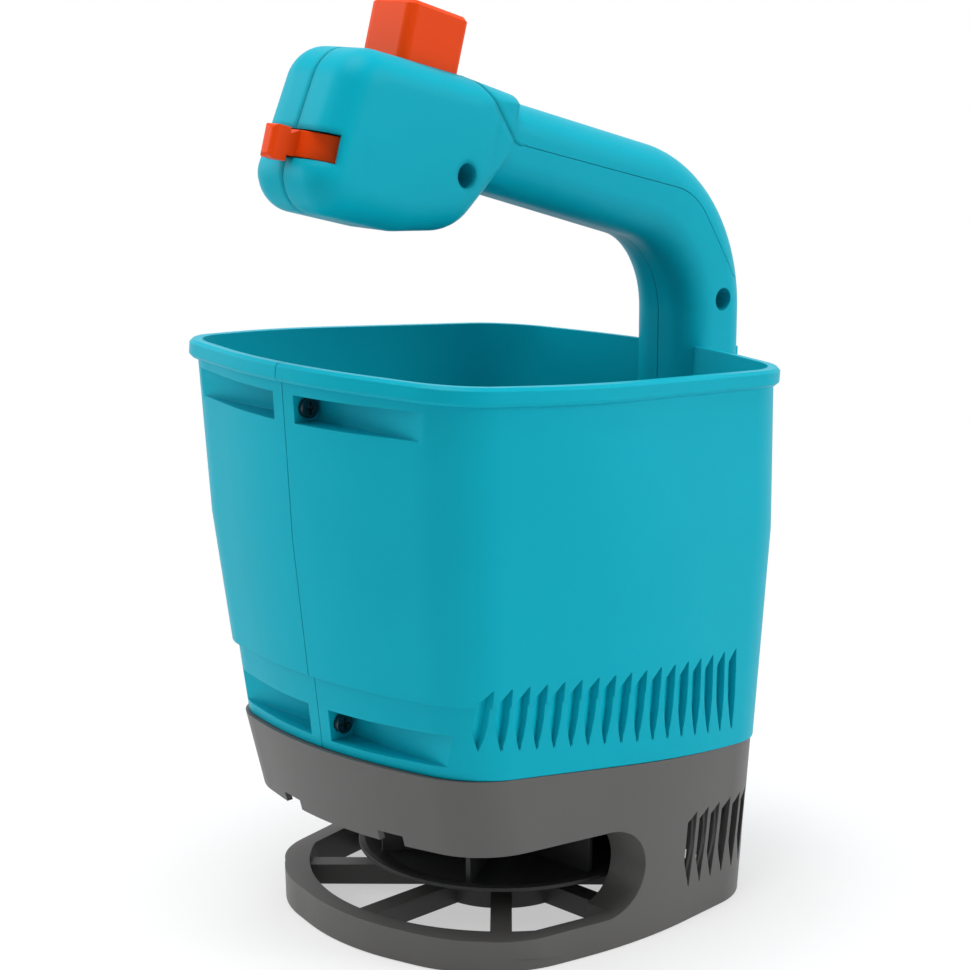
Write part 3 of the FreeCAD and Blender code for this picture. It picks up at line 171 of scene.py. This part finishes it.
def turned(name, colour, roughness, mark_mm=0.35):
    material = bpy.data.materials.new(name)
    material.use_nodes = True
    tree = material.node_tree
    shader = tree.nodes["Principled BSDF"]
    place = add(tree, "ShaderNodeTexCoord").outputs["Object"]
    marks = add(tree, "ShaderNodeTexNoise", Vector=place, Scale=1 / (mark_mm * MM), Detail=2.0)
    rough = add(tree, "ShaderNodeMapRange", Value=marks.outputs["Fac"],
                To_Min=roughness - MARK_WANDER, To_Max=roughness + MARK_WANDER)
    tree.links.new(rough.outputs[0], shader.inputs["Roughness"])
    bump = add(tree, "ShaderNodeBump", Strength=1.0, Distance=MARK_DEEP,
               Height=marks.outputs["Fac"])
    tree.links.new(bump.outputs["Normal"], shader.inputs["Normal"])
    shader.inputs["Base Color"].default_value = linear(colour)
    shader.inputs["Metallic"].default_value = 1.0
    return material


# %% The finishes of this tool
turquoise = moulded("turquoise_moulded_abs", "#00a5ba", "#009fb4", 0.42, gloss=0.08,
                    blended_mm=4.0)
graphite = moulded("graphite_moulded_polypropylene", "#545352", "#4f4e4d", 0.48, grain_mm=0.8,
                   grain_deep_mm=0.02, gloss=0.5)
black_nylon = moulded("black_moulded_nylon", "#343536", "#2f3031", 0.42, gloss=0.5)
orange = moulded("orange_moulded_abs", "#e04408", "#d94005", 0.38, grain_mm=0.5, gloss=0.1)
acetal = moulded("white_moulded_acetal", "#e6e3da", "#dcd9cf", 0.4)
lead_sleeve = moulded("black_pvc_sleeve", "#202224", "#1a1c1e", 0.45, edge_mm=0.2)
rubber = moulded("black_nitrile_rubber", "#191919", "#141414", 0.7, edge_mm=0.2)
cell_sleeve = moulded("plain_cell_sleeve", "#3c4a4f", "#364449", 0.3, edge_mm=0.2)
steel = turned("turned_steel", "#b9bbbd", 0.3)
black_zinc = turned("black_zinc_steel", "#55575b", 0.3)
brass = turned("turned_brass", "#c9a14e", 0.3)
motor_can = turned("nickel_plated_can", "#c4c5c6", 0.28)

FINISHES = {
    turquoise: ("left_housing", "right_housing", "grip_cover"),
    graphite: ("base_housing", "hopper_floor", "gearbox_cover", "control_bracket"),
    black_nylon: ("spreading_disc", "shutter_plate", "agitator", "micro_switch", "battery_tray"),
    orange: ("thumb_button", "dosing_lever"),
    acetal: ("drive_gear", "idler_gear"),
    lead_sleeve: ("motor_leads", "control_cable"),
    rubber: ("shaft_seal",),
    cell_sleeve: ("batteries",),
    steel: ("drive_shaft", "idler_pin", "lever_pivot", "button_spring", "battery_contacts"),
    black_zinc: ("handle_screws", "flange_screws", "base_screws", "disc_screw"),
    brass: ("shaft_bushes", "motor_pinion"),
    motor_can: ("motor",),
}
for material, names in FINISHES.items():
    for name in names:
        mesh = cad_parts[name].data
        mesh.materials.clear()
        mesh.materials.append(material)
print("finished nodes:", sum(len(names) for names in FINISHES.values()))

# %% [markdown]
# ## Softer controls
# The thumb button and the dosing lever are pressed by bare fingers, so every edge of the
# real mouldings is well rounded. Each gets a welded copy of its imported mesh, whose edges a
# bevel rounds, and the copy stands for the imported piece. Area-weighted normals keep the
# flat faces flat beside the new rounds.

# %% Welded copies and their finish
WELD = 0.001 * MM
HOUSING_CREASE, CONTROL_CREASE = 24, 40     # degrees from which an edge is shaded sharp


def copy_of(node, name):
    piece = bpy.data.objects.new(name, bpy.data.meshes.new(name))
    work = bmesh.new()
    work.from_mesh(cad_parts[node].data)
    bmesh.ops.remove_doubles(work, verts=work.verts, dist=WELD)
    work.to_mesh(piece.data)
    work.free()
    if "custom_normal" in piece.data.attributes:
        piece.data.attributes.remove(piece.data.attributes["custom_normal"])
    bpy.context.scene.collection.objects.link(piece)
    return piece


def apply_modifiers(piece):
    bpy.context.view_layer.update()
    shaped = piece.evaluated_get(bpy.context.evaluated_depsgraph_get())
    piece.data = bpy.data.meshes.new_from_object(shaped)
    piece.modifiers.clear()


def finished(piece, node, body, material, crease_degrees):
    """Shade the copy, then let it stand for its node on the body that carries it."""
    mesh = piece.data
    mesh.polygons.foreach_set("use_smooth", [True] * len(mesh.polygons))
    mesh.set_sharp_from_angle(angle=math.radians(crease_degrees))
    weighted = piece.modifiers.new("even_normals", "WEIGHTED_NORMAL")
    weighted.keep_sharp = True
    apply_modifiers(piece)
    piece.data.materials.clear()
    piece.data.materials.append(material)
    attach(piece, body)
    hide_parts(node)
    print(piece.name, len(piece.data.polygons), "faces")


# %% Rounded button and lever
LEVER_PIVOT = axis + Vector((0, -83.4, 291.2)) * MM
LEVER_AXIS = Vector((0, 0.280667, 0.959805))
KNOB_FROM = 22.0                        # millimetres out from the pivot, past the lever's neck
KNOB_TALL, KNOB_LONG = 0.8, 0.82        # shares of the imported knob
KNOB_DROP = 1.2
ROUNDED_FROM, ROUND_STEPS = 28, 3       # degrees from which an edge is rounded


def shrink_knob(piece):
    """The finger knob is smaller than its packed block: lower and shorter beyond the neck."""
    for vertex in piece.data.vertices:
        from_pivot = vertex.co - LEVER_PIVOT
        along = from_pivot.dot(LEVER_AXIS)
        out = from_pivot - LEVER_AXIS * along
        if out.length > KNOB_FROM * MM:
            reach = KNOB_FROM * MM + (out.length - KNOB_FROM * MM) * KNOB_LONG
            level = along * KNOB_TALL - KNOB_DROP * MM
            vertex.co = LEVER_PIVOT + LEVER_AXIS * level + out.normalized() * reach


for node, body, soft_mm in (("thumb_button", "button", 0.9), ("dosing_lever", "dosing", 0.8)):
    piece = copy_of(node, "soft_" + node)
    if node == "dosing_lever":
        shrink_knob(piece)
    rounding = piece.modifiers.new("soft_edges", "BEVEL")
    rounding.width = soft_mm * MM
    rounding.segments = ROUND_STEPS
    rounding.limit_method = "ANGLE"
    rounding.angle_limit = math.radians(ROUNDED_FROM)
    rounding.use_clamp_overlap = True
    apply_modifiers(piece)
    finished(piece, node, body, orange, CONTROL_CREASE)

# %% [markdown]
# ## The head's run into the grip
# On the real handle the top of the head runs into the grip without a step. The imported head
# ends 1.7 mm proud of it, so the copies of the three pieces that meet there are drawn down
# towards the end of the head, all by the same rule, so their seams stay shut.

# %% Draw the head's end down to the grip
HEAD_END = -8.0                         # y from the disc's axis, minus to the front
HEAD_RUN, HEAD_STEP = 26.0, 1.7         # length over which the fall comes in, and the fall
HEAD_LOW, HEAD_RISE = 284.0, 20.0       # from no fall at this height to all of it above
HEAD_SLACK = 0.5                        # takes in the head's own last edge


def settle_head(piece):
    for vertex in piece.data.vertices:
        y, z = (vertex.co.y - axis.y) / MM, vertex.co.z / MM
        along = min(max((y - HEAD_END + HEAD_RUN) / HEAD_RUN, 0.0), 1.0)
        high = min(max((z - HEAD_LOW) / HEAD_RISE, 0.0), 1.0)
        if y < HEAD_END + HEAD_SLACK:
            vertex.co.z -= HEAD_STEP * along * high * MM


piece = copy_of("grip_cover", "settled_grip_cover")
settle_head(piece)
finished(piece, "grip_cover", "cover", turquoise, HOUSING_CREASE)

# %% [markdown]
# ## Cutting slots into a wall
# The flutes and the vents below are both cut in one way. A ray from outside finds the wall,
# each slot is a prism between a ring inside the wall and a ring outside it, and a boolean
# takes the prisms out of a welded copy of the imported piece.

# %% Tools for the cuts
RAY_FROM = 0.2                          # metres out, beyond every wall


def wall_at(tree, side, y, z):
    """How far out the wall stands on this side, in millimetres."""
    hit = tree.ray_cast(Vector((side * RAY_FROM, y * MM, z * MM)), Vector((-side, 0, 0)))
    return abs(hit[0].x) / MM


def add_prism(work, inner, outer):
    work.faces.new(inner)
    work.faces.new(outer[::-1])
    for here in range(len(inner)):
        after = (here + 1) % len(inner)
        work.faces.new((inner[after], inner[here], outer[here], outer[after]))


def cutter_from(work, name):
    bmesh.ops.recalc_face_normals(work, faces=work.faces)
    cutter = bpy.data.objects.new(name, bpy.data.meshes.new(name))
    work.to_mesh(cutter.data)
    work.free()
    bpy.context.scene.collection.objects.link(cutter)
    return cutter


def cut_away(piece, cutters):
    for cutter in cutters:
        cut = piece.modifiers.new(cutter.name, "BOOLEAN")
        cut.operation = "DIFFERENCE"
        cut.solver = "EXACT"
        cut.object = cutter
    apply_modifiers(piece)
    for cutter in cutters:
        bpy.data.objects.remove(cutter)


# %% [markdown]
# ## Flutes
# Seventeen slanted flutes run along each side of the hopper, beside the drive. They are
# shaped like a fin: a straight back edge, a shoulder near the top and a point below, cut
# deepest along the back edge. Their tops fall and their heights grow towards the back. The
# wall is measured just past each flute's corners, where no packed flute is in the way.

# %% Cut the flutes
FLUTE_COUNT, FLUTE_PITCH, FLUTE_FIRST = 17, 7.2, -77.8
FLUTE_WIDE, FLUTE_DEEP = 5.3, 3.2
FLUTE_TOP, FLUTE_TOP_FALL = 107.2, 0.055
FLUTE_TALL, FLUTE_TALL_RISE = 28.7, 0.075
FIN = ((1.0, 0.0), (1.0, -8.0), (0.97, -16.0), (0.84, -23.0), (0.6, -28.5), (0.36, -23.5),
       (0.14, -17.0), (0.02, -10.0), (0.0, -6.0))     # share across, millimetres below the top
FIN_TALL = 28.5
PAST_TOP, PAST_FOOT, PAST_EDGE = 2, 3, 0.1      # the wall is measured this far past a flute
FLUTE_OUT = 4                           # the prisms start this far outside the wall


def flute_cutter(tree, side):
    """All flutes of one side as one mesh; heights and depths in millimetres."""
    work = bmesh.new()
    for number in range(FLUTE_COUNT):
        y = FLUTE_FIRST + number * FLUTE_PITCH
        top = FLUTE_TOP - FLUTE_TOP_FALL * y
        tall = FLUTE_TALL + FLUTE_TALL_RISE * y
        start = y + axis.y / MM
        edges = [[wall_at(tree, side, start + share * FLUTE_WIDE, z)
                  for z in (top + PAST_TOP, top - tall - PAST_FOOT)]
                 for share in (-PAST_EDGE, 1 + PAST_EDGE)]
        inner, outer = [], []
        for share, below in FIN:
            z = top + below * tall / FIN_TALL
            fall = (top + PAST_TOP - z) / (tall + PAST_TOP + PAST_FOOT)
            across = (share + PAST_EDGE) / (1 + 2 * PAST_EDGE)
            skin = sum(weight * ((1 - fall) * pair[0] + fall * pair[1])
                       for weight, pair in zip((1 - across, across), edges))
            place = start + share * FLUTE_WIDE
            for ring, x in ((inner, skin - FLUTE_DEEP * share), (outer, skin + FLUTE_OUT)):
                ring.append(work.verts.new((side * x * MM, place * MM, z * MM)))
        add_prism(work, inner, outer)
    return cutter_from(work, "flutes")


for node, side in (("left_housing", 1), ("right_housing", -1)):
    piece = copy_of(node, "fluted_" + node)
    settle_head(piece)
    shape = BVHTree.FromObject(piece, bpy.context.evaluated_depsgraph_get())
    cut_away(piece, [flute_cutter(shape, side)])
    finished(piece, node, "housing", turquoise, HOUSING_CREASE)

# %% [markdown]
# ## Vents
# Seven vents let air through each side of the base behind the disc. They are wide slots
# with a slanted top, a straight front edge, a point at the foot, and narrow ribs between
# them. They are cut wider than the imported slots. The ones beside the outlet stay inside
# the wall, since the light of the outlet would show through them.

# %% Cut the vents
VENT_COUNT, VENT_PITCH, VENT_FIRST, VENT_DEEP = 7, 6.9, 19.6, 5.0
BLIND_VENTS, BLIND_DEEP = 3, 2.2
DISC_ROOM = 63.0                        # no slot reaches further in than this
VENT_OUT = 5                            # the prisms start this far outside the wall
VENT_SHAPE = ((0.0, 26.0), (0.0, 41.5), (5.0, 45.0), (5.0, 30.0), (4.2, 14.0), (1.5, 21.0))
VENT_MIDDLE, BELOW_VENTS, ABOVE_VENTS = 29, 12.5, 47.0      # plain wall is below and above


def vent_cutter(tree, side):
    """All vents of one side as one mesh; VENT_SHAPE gives each corner's way across and height."""
    work = bmesh.new()
    for number in range(VENT_COUNT):
        start = VENT_FIRST + number * VENT_PITCH + axis.y / MM
        deep = BLIND_DEEP if number < BLIND_VENTS else VENT_DEEP
        inner, outer = [], []
        for across, z in VENT_SHAPE:
            plain = BELOW_VENTS if z < VENT_MIDDLE else ABOVE_VENTS
            skin = wall_at(tree, side, start + across, plain)
            for ring, x in ((inner, max(skin - deep, DISC_ROOM)), (outer, skin + VENT_OUT)):
                ring.append(work.verts.new((side * x * MM, (start + across) * MM, z * MM)))
        add_prism(work, inner, outer)
    return cutter_from(work, "vents")


piece = copy_of("base_housing", "vented_base_housing")
shape = BVHTree.FromObject(piece, bpy.context.evaluated_depsgraph_get())
cut_away(piece, [vent_cutter(shape, side) for side in (1, -1)])
finished(piece, "base_housing", "housing", graphite, HOUSING_CREASE)

# %% [markdown]
# ## Floor and light
# A pale paper floor carries the tool's soft shadow. Further out it turns into plain white,
# as an overexposed studio sweep does, so it meets the white world without a line. That
# white is only for the rays of the camera, of mirrors and of glass: the lamps and a dimmer
# world do all the lighting. The front corner of the tool is its darkest part, with a large
# soft lamp on the left and another behind it on the right.

# %% One switch for the rays that see the white ground
def seen_directly(tree):
    rays = add(tree, "ShaderNodeLightPath")
    mirrored = add(tree, "ShaderNodeMath", {"operation": "MAXIMUM"},
                   i0=rays.outputs["Is Glossy Ray"], i1=rays.outputs["Is Transmission Ray"])
    seen = add(tree, "ShaderNodeMath", {"operation": "MAXIMUM"},
               i0=rays.outputs["Is Camera Ray"], i1=mirrored.outputs[0])
    return seen.outputs[0]


# %% Floor
FLOOR_REACH = 6.0                       # metres
FLOOR_DOWN = 0.3 * MM                   # keeps it clear of the foot ring's underside
WHITE_FROM, ALL_WHITE, WHITE_NEAR = 0.1, 0.4, 0.5   # metres out, and the white at the tool

floor_mesh = bpy.data.meshes.new("studio_floor")
floor_corners = [(x * FLOOR_REACH, y * FLOOR_REACH, 0)
                 for x, y in ((-1, -1), (1, -1), (1, 1), (-1, 1))]
floor_mesh.from_pydata(floor_corners, [], [(0, 1, 2, 3)])
floor = bpy.data.objects.new("studio_floor", floor_mesh)
floor.location.z = -FLOOR_DOWN
bpy.context.scene.collection.objects.link(floor)

paper = bpy.data.materials.new("white_paper_sweep")
paper.use_nodes = True
tree = paper.node_tree
shader = tree.nodes["Principled BSDF"]
shader.inputs["Base Color"].default_value = linear("#fbfbfb")
shader.inputs["Roughness"].default_value = 0.9
shader.inputs["Specular IOR Level"].default_value = 0.1
place = add(tree, "ShaderNodeTexCoord").outputs["Object"]
distance = add(tree, "ShaderNodeVectorMath", {"operation": "LENGTH"}, i0=place)
far = add(tree, "ShaderNodeMapRange", {"interpolation_type": "SMOOTHSTEP"},
          Value=distance.outputs["Value"], From_Min=WHITE_FROM, From_Max=ALL_WHITE,
          To_Min=WHITE_NEAR, To_Max=1.0)
white_share = add(tree, "ShaderNodeMath", {"operation": "MULTIPLY"}, i0=far.outputs[0],
                  i1=seen_directly(tree))
white = add(tree, "ShaderNodeEmission", Strength=1.0)
blend = add(tree, "ShaderNodeMixShader", Fac=white_share.outputs[0], i1=shader.outputs[0],
            i2=white.outputs[0])
tree.links.new(blend.outputs[0], tree.nodes["Material Output"].inputs["Surface"])
floor_mesh.materials.append(paper)

# %% World
WORLD_LIGHT, WORLD_SEEN = 0.43, 1.0

world = bpy.data.worlds.new("studio_world")
bpy.context.scene.world = world
world.use_nodes = True
tree = world.node_tree
tree.nodes.clear()
strength = add(tree, "ShaderNodeMapRange", Value=seen_directly(tree),
               To_Min=WORLD_LIGHT, To_Max=WORLD_SEEN)
background = add(tree, "ShaderNodeBackground", Color=(1, 1, 1, 1), Strength=strength.outputs[0])
add(tree, "ShaderNodeOutputWorld", Surface=background.outputs[0])

# %% Lamps
LAMP_AIM = Vector((0, 0, 0.15))
SOFTBOXES = {                           # place in metres from the axis, width, watts
    "left_softbox": ((-1.5, -0.9, 0.75), 0.9, 12),
    "right_softbox": ((1.3, 0.9, 0.8), 0.9, 12),
    "top_softbox": ((0.0, -0.2, 1.5), 0.8, 15),
}
for name, (at, width, watts) in SOFTBOXES.items():
    lamp_data = bpy.data.lights.new(name, "AREA")
    lamp_data.shape = "SQUARE"
    lamp_data.size = width
    lamp_data.energy = watts
    lamp = bpy.data.objects.new(name, lamp_data)
    lamp.location = axis + Vector(at)
    lamp.rotation_euler = (LAMP_AIM - Vector(at)).to_track_quat("-Z", "Y").to_euler()
    bpy.context.scene.collection.objects.link(lamp)
print("lamps:", len(SOFTBOXES), "and a world at", WORLD_LIGHT)

view = bpy.context.scene.view_settings
view.view_transform = "Standard"
